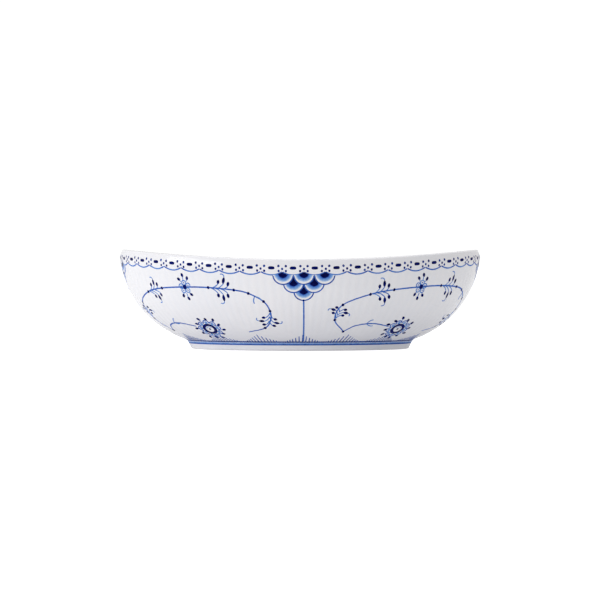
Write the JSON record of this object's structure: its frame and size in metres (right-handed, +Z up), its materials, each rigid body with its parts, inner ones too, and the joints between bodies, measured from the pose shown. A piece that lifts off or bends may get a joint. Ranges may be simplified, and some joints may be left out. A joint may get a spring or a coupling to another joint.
{
  "type": "serving bowl",
  "caption": "Oval porcelain serving bowl with a saddle-shaped rim, rounded fluted wall, low oval foot ring and blue underglaze flower and lace decoration.",
  "frame": {"origin": "centre of the foot ring's underside, on the resting plane", "axes": "+X along the bowl's long axis, +Y across it, +Z up through the opening"},
  "size_m": [0.28, 0.215, 0.077],
  "materials": {
    "porcelain": "gloss",
    "underglaze_blue": "gloss"
  },
  "bodies": {
    "root": {"bowl_body": "porcelain", "foot_ring": "porcelain"}
  },
  "joints": []
}
